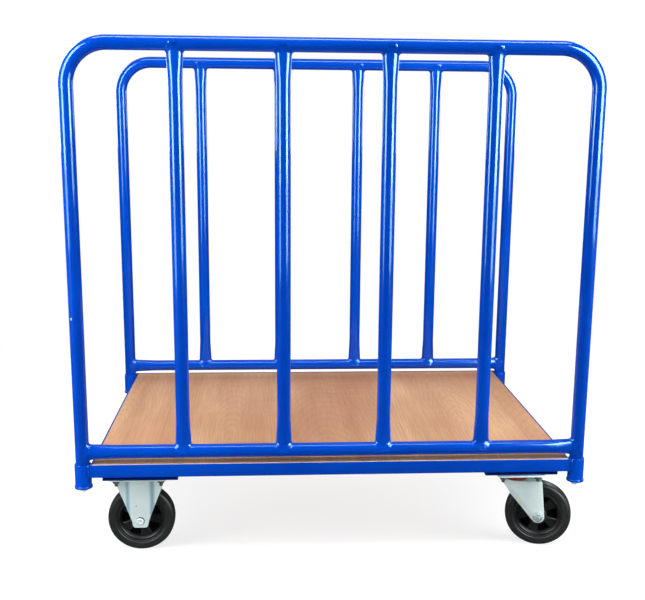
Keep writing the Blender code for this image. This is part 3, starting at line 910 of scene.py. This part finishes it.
def plateBolts(name, x, y, length, width):
    bolts = []
    for k, (i, j) in enumerate(((-1, -1), (-1, 1), (1, -1), (1, 1))):
        tight = turned(math.radians(plateBoltSize["nutTurn"] * k), "Z")  # nuts stop where they are tight
        place = at(x + i * length / 2, y + j * width / 2, plateBottom)
        bolts.append(twin(plateBoltMaster, "plateBolt", place @ tight))
    # painted shade: these nuts sit under the channels and are drawn near black
    finishPiece(joined(name, bolts), "zinc", finish="shaded_zinc")


# fixed casters: pressed legs with a raised middle panel, under a flat plate

bracketSize = {"legOuter": 0.033, "legThickness": 0.0025, "topHalf": 0.063, "endRadius": 0.020,
               "endDrop": 0.0165, "endRise": 0.004, "endCorner": 0.0065, "panel": 0.0220, "slope": 0.0145,
               "sunk": 0.0058, "panelShare": 0.86, "footShare": 0.96, "flare": 0.003, "flareHeight": 0.0045,
               "flareRows": (0, 0.0006, 0.0018, 0.0045), "straightRows": 18, "endRows": 8, "edge": 0.0007}
axleHoleShadeSize = {"sides": 36,
                # painted shade: a dark rim round the axle's hole and a dark dot at a small pressing mark:
                # radius, and place beside the axle
                "spots": ((0.0096, 0.0004, 0.0006), (0.0013, -0.009, 0.038)),
                # share of the radius, and height over the leg
                "shape": ((1, -0.0008), (1, 0), (0.9, 0.00025))}
fixedAxleSize = {"headDepth": 0.003, "neck": 0.0058, "body": 0.010, "bodyHalf": 0.0297,
                 "offCentre": (0.0006, 0, 0.0010),
                 # dished, riveted end: radius, and depth below the end
                 "end": ((0.0030, 0.0010), (0.0050, 0.0006), (0.0062, 0), (0.0074, 0.0004), (0.0086, 0.0018),
                         (0.0086, 0.003))}


def pressedDepth(x):
    # 0 on the middle panel, 1 on the wings
    return min(max((abs(x) - bracketSize["panel"]) / bracketSize["slope"], 0), 1)


def pressedLeg(name):
    # a sheet of columns and rows that tapers to the axle, both wings pressed in beside the middle panel
    size = bracketSize
    bottom, lowest = axleZ - size["endDrop"], axleZ + size["endRise"]
    straight, end = size["straightRows"], size["endRows"]
    heights = [plateBottom - drop for drop in size["flareRows"]]
    start = heights[-1]
    heights += [start + (lowest - start) * i / straight for i in range(1, straight + 1)]
    heights += [lowest + (bottom - lowest) * i / end for i in range(1, end + 1)]
    shape = bmesh.new()
    bend = shape.verts.layers.float.new("bend")  # 1 halfway down each slope, where painted shade makes the zinc darker and bluer
    grid = []
    for z in heights:
        share = min((plateBottom - z) / (plateBottom - axleZ), 1.0)
        half = size["topHalf"] + (size["endRadius"] - size["topHalf"]) * share
        if z < lowest:
            corner = (lowest - z) / (lowest - bottom)
            half = size["endRadius"] - size["endCorner"] * (1 - math.sqrt(max(1 - corner ** 2, 0)))
        top = min(size["panel"], half * size["panelShare"])
        foot = min(size["panel"] + size["slope"], half * size["footShare"])
        flared = size["flare"] * max(0.0, 1 - (plateBottom - z) / size["flareHeight"]) ** 2
        reaches = [0, top / 2, top, (top + foot) / 2, foot, (foot + half) / 2, half]
        row = []
        for x in [-reach for reach in reversed(reaches[1:])] + reaches:
            depth = pressedDepth(x)
            v = shape.verts.new((x, size["sunk"] * depth - size["legOuter"] - flared, z))
            v[bend] = 4 * depth * (1 - depth)
            row.append(v)
        grid.append(row)
    for upper, lower in zip(grid, grid[1:]):
        for i in range(len(upper) - 1):
            shape.faces.new((upper[i], lower[i], lower[i + 1], upper[i + 1]))
    piece = fromShape(name, shape)
    applied(piece, "SUBSURF", levels=2, render_levels=2)
    applied(piece, "SOLIDIFY", thickness=size["legThickness"], offset=-1)  # the outer face stays
    startEdit(piece)
    bpy.ops.mesh.normals_make_consistent(inside=False)
    endEdit()
    roundEdges(piece, size["edge"], 2, 50)
    return smooth(piece, 40)


def makeBracket(name):
    plate = makePlate(name + "Plate", 0, 0, plateSize["length"], plateSize["width"])
    leg = pressedLeg(name + "Leg")
    return joined(name, [plate, leg, twin(leg, name + "FarLeg", halfTurn)])


def makeAxleHoleShade(name):
    spots = []
    for radius, x, z in axleHoleShadeSize["spots"]:
        profile = [(radius * share, height) for share, height in axleHoleShadeSize["shape"]]
        onLeg = at(x, -bracketSize["legOuter"], z) @ alongY
        spots.append(lathe(name + "Spot", profile, axleHoleShadeSize["sides"], bridged=False, matrix=onLeg))
    near = joined(name + "Near", spots)
    return smooth(joined(name, [near, twin(near, name + "Far", halfTurn)]))


def makeFixedAxle(name):
    low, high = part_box("front_left_axle")
    half = (high.y - low.y) / 2
    headDepth, neck, body, bodyHalf = pick(fixedAxleSize, "headDepth neck body bodyHalf")
    profile = [(radius, half - depth) for radius, depth in fixedAxleSize["end"]]
    profile += [(neck, half - headDepth), (neck, bodyHalf), (body, bodyHalf)]
    return lathe(name, mirroredProfile(profile), bridged=False, edge=fineEdge, edgeAngle=40, matrix=alongY,
                 angle=40)


bracketMaster = makeBracket("bracketMaster")
fixedAxleMaster = makeFixedAxle("fixedAxleMaster")
axleHoleShadeMaster = makeAxleHoleShade("axleHoleShadeMaster")
for side in frameY:
    place = side + "_left"
    centre = middleOf(place + "_tyre")
    lay(bracketMaster, place + "_bracket_pressed", at(centre.x, centre.y, 0), "zinc", place + "_bracket")
    axleAt = at(*(centre - Vector(fixedAxleSize["offCentre"])))
    lay(fixedAxleMaster, place + "_axle_riveted", axleAt, "zinc", place + "_axle")
    # painted shade: dark rim round the axle and dark dot at the pressing mark
    lay(axleHoleShadeMaster, place + "_axle_hole_shade", at(*centre), "dark_steel")
    plateBolts(place + "_plate_bolts", centre.x, centre.y, plateSize["boltLength"], plateSize["boltWidth"])
discard(bracketMaster, fixedAxleMaster, axleHoleShadeMaster)
print("fixed casters made")


# swivel casters: plate, sealed ball race, fork with a hollowed crown, bolted axle

forkSize = {"legInner": 0.030, "legThickness": 0.003, "tail": 0.034, "nose": 0.066, "trail": 0.059,
            "endRadius": 0.016, "endSteps": 24, "crownTop": 0.168, "crownThickness": 0.004,
            "crownCorner": 0.006, "crownInset": 0.0005, "noseInset": 0.001, "ear": 0.1715, "dip": 0.1645,
            "hollow": (-0.026, 0.046), "hollowSteps": 18, "hollowLean": 0.85, "hollowPower": 1.4,
            # corner of the nose, and flared tail below its ear: how far in, how far down
            "noseCorner": ((0, 0.004), (0.001, 0.0012), (0.004, 0)),
            "tailFlare": ((0.003, 0), (0, 0.0025), (0.005, 0.008), (0.0105, 0.0145), (0.015, 0.021),
                          (0.019, 0.0275), (0.023, 0.0345))}
kingpinSize = {"head": 0.0115, "shank": 0.006, "tail": 0.012, "tailHeight": 0.006, "chamfer": (0.003, 0.0015),
               "sides": 40}
raceSize = {"inner": 0.020, "edge": 0.0006, "sides": 72}
sealSize = {"inner": 0.0293, "edge": 0.0008, "sides": 72}
axleBoltSize = {"flats": 0.019, "head": 0.0075, "nut": 0.010, "stub": 0.0015, "shank": 0.006, "teeth": 12,
                "flange": 0.0118, "tooth": 0.0007, "notch": -0.0003, "sleeve": 0.010, "sleeveEdge": 0.0004,
                "play": 0.0003, "flangeRings": ((0, 1.0), (0.0018, 1.0), (0.0026, 0.9)), "nutRise": 0.0015}


def tangentTurn(cornerX, cornerZ, centreX, centreZ, radius, side):
    dx, dz = cornerX - centreX, cornerZ - centreZ
    return math.atan2(dz, dx) + side * math.acos(radius / math.hypot(dx, dz))


def forkOutline():
    # top edge from nose to tail, hollowed between its ears, then down the flared tail and round the axle
    size = forkSize
    radius, trail, ear = size["endRadius"], size["trail"], size["ear"]
    points = [(size["nose"] - inward, ear - down) for inward, down in size["noseCorner"]]
    left, right = size["hollow"]
    for i in range(size["hollowSteps"] + 1):
        share = i / size["hollowSteps"]
        sag = (ear - size["dip"]) * math.sin(math.pi * share ** size["hollowLean"]) ** size["hollowPower"]
        points.append((right + (left - right) * share, ear - sag))
    points += [(inward - size["tail"], ear - down) for inward, down in size["tailFlare"]]
    start = tangentTurn(*points[-1], trail, axleZ, radius, 1)
    stop = tangentTurn(*points[0], trail, axleZ, radius, -1)
    stop += 2 * math.pi if stop < start else 0
    for i in range(size["endSteps"] + 1):
        turn = start + (stop - start) * i / size["endSteps"]
        points.append((trail + radius * math.cos(turn), axleZ + radius * math.sin(turn)))
    return points


def makeFork(name):
    size = forkSize
    near, far = -size["legInner"] - size["legThickness"], -size["legInner"]
    leg = cutFromSheet(name + "Leg", forkOutline(), near, far)
    other = twin(leg, name + "FarLeg", Matrix.Scale(-1, 4, (0, 1, 0)))
    inset = size["crownInset"]
    crownLow = (-size["tail"] + inset, near + inset, size["crownTop"] - size["crownThickness"])
    crownHigh = (size["nose"] - size["noseInset"], -near - inset, size["crownTop"])
    return joined(name, [leg, other, sheetBlock(name + "Crown", crownLow, crownHigh, size["crownCorner"])])


def makeKingpin(name):
    low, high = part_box("front_right_kingpin")
    head, shank, tail, tailHeight, sides = pick(kingpinSize, "head shank tail tailHeight sides")
    inward, upward = kingpinSize["chamfer"]
    profile = [(head, high.z), (shank, plateBottom), (shank, low.z + tailHeight), (tail, low.z + tailHeight),
               (tail, low.z + upward), (tail - inward, low.z)]
    return lathe(name, profile, sides, bridged=False, edge=fineEdge, edgeAngle=35, angle=35)


def makeUprightRing(name, node, inner, edge, sides):
    low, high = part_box(node)
    centre = middleOf(node)
    return turnedRing(name, inner, (high.y - low.y) / 2, low.z, high.z, sides, edge, segments=3,
                      matrix=at(centre.x, centre.y, 0))


def makeAxleNut(name, outside):
    # flange nut with a toothed rim, on the side of -Y once turned
    size = axleBoltSize
    flats, nutHeight, stub, shank = pick(size, "flats nut stub shank")
    nut = makeHexNut(name + "Hex", flats, outside + size["nutRise"], outside + nutHeight, stub, shank)
    rim = []
    for rise, shrink in size["flangeRings"]:
        ring = []
        for i, turn in enumerate(evenTurns(size["teeth"] * 4)):
            radius = (size["flange"] + (size["tooth"] if i % 4 < 2 else size["notch"])) * shrink
            ring.append(polar(radius, turn, outside + rise))
        rim.append(ring)
    return settle(joined(name, [nut, smooth(loft(name + "Flange", rim), 25)]), alongY)


def makeAxleBolt(name, outside):
    size = axleBoltSize
    radius, tip = size["shank"] * 0.95, outside + size["nut"] - 0.001
    head = loft(name + "Head", hexRings(size["flats"], -outside, -outside - size["head"]))
    profile = [(radius, -outside), (radius, tip)]
    shaft = lathe(name + "Shank", profile, fastenerSize["shankSides"], bridged=False)
    return settle(smooth(joined(name, [head, shaft]), 25), alongY)


forkMaster = makeFork("forkMaster")
kingpinMaster = makeKingpin("kingpinMaster")
legOutside = forkSize["legInner"] + forkSize["legThickness"] + axleBoltSize["play"]
nutMaster = makeAxleNut("nutMaster", legOutside)
axleBoltMaster = makeAxleBolt("axleBoltMaster", legOutside)
sleeveMaster = makeAxleRing("sleeveMaster", axleBoltSize["shank"], axleBoltSize["sleeve"],
                            forkSize["legInner"] - axleBoltSize["play"], edge=axleBoltSize["sleeveEdge"])
for side in frameY:
    place = side + "_right"
    body = place + "_swivel_fork"
    x, y = jointNamed(place + "_swivel")["pos_m"][:2]
    plate = makePlate(place + "_top_plate_eased", x, y, plateSize["width"], plateSize["length"])
    finishPiece(plate, "zinc", place + "_top_plate")
    plateBolts(place + "_plate_bolts", x, y, plateSize["boltWidth"], plateSize["boltLength"])
    lay(kingpinMaster, place + "_kingpin_turned", at(x, y, 0), "zinc", place + "_kingpin")
    for part, label, slot, size in (("_ball_race", "_turned", "dark_steel", raceSize),
                                    ("_seal_ring", "_moulded", "red_seal", sealSize)):
        node = place + part
        finishPiece(makeUprightRing(node + label, node, **size), slot, node)
    standing = at(x, y, 0) @ headingOf(place)
    lay(forkMaster, place + "_fork_pressed", standing, "zinc", place + "_fork", body=body)
    atAxle = standing @ at(forkSize["trail"], 0, axleZ)
    for master, part, label in ((nutMaster, "_axle_nut", "_flanged"),
                                (axleBoltMaster, "_axle_bolt", "_chamfered"),
                                (sleeveMaster, "_axle_sleeve", "_turned")):
        node = place + part
        lay(master, node + label, atAxle, "zinc", node, body=body, finish="darker_zinc")
discard(forkMaster, kingpinMaster, nutMaster, axleBoltMaster, sleeveMaster, plateBoltMaster)
print("swivel casters made")


# studio: pale floor, soft lamps, white background

studio = {"floorSize": 14.0, "floorGrey": 0.34, "bounceGrey": 0.50, "glow": 0.77, "whiteFrom": 0.9,
          "whiteAt": 2.2, "ambient": 0.22, "flagGrey": 0.02, "paperRough": 0.9}
# dark flags round the object: middle, turn in degrees, width and height
flags = {"front": ((0, -3.4, 2.0), (90, 0, 0), (8.4, 4.0)), "back": ((0, 3.4, 2.0), (90, 0, 0), (8.4, 4.0)),
         "left": ((-4.2, 0, 2.0), (90, 0, 90), (6.8, 4.0)), "right": ((4.2, 0, 2.0), (90, 0, 90), (6.8, 4.0)),
         "above": ((0, -1.0, 3.4), (0, 0, 0), (8.4, 4.8)), "below": ((0, 0, 0.003), (0, 0, 0), (8.4, 6.8))}
# place, target, width and height, power, and which rays see it
lamps = {"leftSoftbox": ((-1.32, -0.80, 0.95), (-0.3, -0.35, 0.7), (0.7, 1.7), 22, "diffuse"),
         "leftStrip": ((-1.58, -1.27, 1.55), (-0.3, -0.35, 1.4), (0.7, 1.6), 74, "gloss"),
         "leftStripFoot": ((-1.58, -1.27, 0.575), (-0.3, -0.35, 0.5), (0.7, 0.35), 7, "gloss"),
         "rightSoftbox": ((1.60, -0.80, 0.95), (0.3, -0.35, 0.7), (0.7, 1.7), 28, "diffuse"),
         "rightStrip": ((1.58, -1.55, 1.55), (0.3, -0.35, 1.4), (1.1, 1.6), 160, "gloss"),
         "rightStripFoot": ((1.58, -1.55, 0.575), (0.3, -0.35, 0.5), (1.1, 0.35), 14, "gloss"),
         "overheadSoftbox": ((0, -1.05, 2.7), (0, 0, 0.2), (1.8, 0.6), 46, "diffuse"),
         "overheadStrip": ((0, -0.45, 2.69), (0, -0.45, 0.2), (2.4, 0.35), 42, "gloss"),
         "backSoftbox": ((0, 2.4, 1.15), (0, 0.2, 0.65), (2.6, 1.3), 52, "diffuse"),
         "backLeftStrip": ((-1.7, 1.6, 1.55), (-0.3, 0.35, 1.2), (0.6, 1.4), 26, "gloss"),
         "backRightStrip": ((1.7, 1.6, 1.55), (0.3, 0.35, 1.2), (0.6, 1.4), 26, "gloss")}
lampColours = {"diffuse": (1, 1, 1), "gloss": (0.85, 0.98, 1.0)}


def seenRays(tree):
    # 1 for what the camera sees, straight or mirrored
    path = addNode(tree, "ShaderNodeLightPath")
    camera, glossy, through = (Wire(path.outputs[label]) for label in
                               ("Is Camera Ray", "Is Glossy Ray", "Is Transmission Ray"))
    return (camera + glossy + through).maths("MINIMUM", 1.0)


def mixedShaders(factor, a, b):
    return factor.through("ShaderNodeMixShader", 0, factor, a, b)


def studioPaper(name, tone, **constants):
    material, shader, place = newFinish(name, Base_Color=grey(tone), Roughness=studio["paperRough"],
                                        Specular_IOR_Level=0.0, **constants)
    return material, Wire(shader.outputs[0]), place


def makeFloor():
    floor = added("studio_floor", bpy.ops.mesh.primitive_plane_add, size=studio["floorSize"])
    material, paper, place = studioPaper("floorPaper", studio["floorGrey"], Emission_Color=grey(1),
                                         Emission_Strength=studio["glow"])
    tree = place.tree
    far = place.distanceTo((0, 0, 0)).ranged(studio["whiteFrom"], studio["whiteAt"])
    white = Wire(addNode(tree, "ShaderNodeEmission").outputs[0])
    bounce = plug(addNode(tree, "ShaderNodeBsdfDiffuse"), Color=grey(studio["bounceGrey"]))
    seen = mixedShaders(far, paper, white)
    plug(tree.nodes["Material Output"], Surface=mixedShaders(seenRays(tree), Wire(bounce.outputs[0]), seen))
    floor.data.materials.append(material)


def makeFlags():
    # the dark side of the studio: only the gloss of the object sees it, so the paint keeps its depth
    sheets = []
    for name, (place, turn, size) in flags.items():
        sheet = added(name + "Flag", bpy.ops.mesh.primitive_plane_add, size=1, location=place,
                      rotation=[math.radians(angle) for angle in turn])
        sheet.scale = (*size, 1)
        sheets.append(settle(sheet))
    piece = joined("studio_flags", sheets)
    material, cloth, place = studioPaper("flagCloth", studio["flagGrey"])
    tree = place.tree
    clear = Wire(addNode(tree, "ShaderNodeBsdfTransparent").outputs[0])
    glossy = Wire(addNode(tree, "ShaderNodeLightPath").outputs["Is Glossy Ray"])
    plug(tree.nodes["Material Output"], Surface=mixedShaders(glossy, clear, cloth))
    piece.data.materials.append(material)


def makeWorld():
    world = bpy.data.worlds.new("studioAir")
    bpy.context.scene.world = world
    world.use_nodes = True
    tree = world.node_tree
    strength = seenRays(tree).ranged(0, 1, studio["ambient"], 1.0)
    plug(tree.nodes["Background"], Color=grey(1), Strength=strength)


def addLamp(name, place, target, size, power, seenBy):
    light = bpy.data.lights.new(name, "AREA")
    light.shape = "RECTANGLE"
    light.size, light.size_y = size
    light.energy = power
    light.color = lampColours[seenBy]
    lamp = linked(bpy.data.objects.new(name, light))
    lamp.location = place
    lamp.rotation_euler = (Vector(target) - Vector(place)).to_track_quat("-Z", "Y").to_euler()
    lamp.visible_camera = False
    lamp.visible_diffuse = seenBy == "diffuse"
    lamp.visible_glossy = seenBy == "gloss"


makeFloor()
makeFlags()
makeWorld()
for name, settings in lamps.items():
    addLamp(name, *settings)
print("studio lit")


# camera at the photograph's view, for an image of 645 x 600

cameraView = {"place": (-0.1472, -2.5732, 1.0330), "yaw": -0.0637, "pitch": 0.2058, "roll": 0.0091,
              "focalPixels": 969.79, "imageWidth": 645, "shiftPixels": (-8.58, 18.84), "sensor": 36.0}


def makeCamera():
    view = cameraView
    data = bpy.data.cameras.new("photoCamera")
    data.sensor_width = view["sensor"]
    data.lens = view["focalPixels"] / view["imageWidth"] * view["sensor"]
    data.shift_x, data.shift_y = (pixels / view["imageWidth"] for pixels in view["shiftPixels"])
    camera = linked(bpy.data.objects.new("photoCamera", data))
    facing = turned(view["yaw"], "Z") @ turned(math.pi / 2 - view["pitch"], "X") @ turned(view["roll"], "Z")
    camera.matrix_world = at(*view["place"]) @ facing
    bpy.context.scene.camera = camera


makeCamera()
bpy.context.scene.view_settings.view_transform = "Standard"
clearSelection()
print("camera placed")
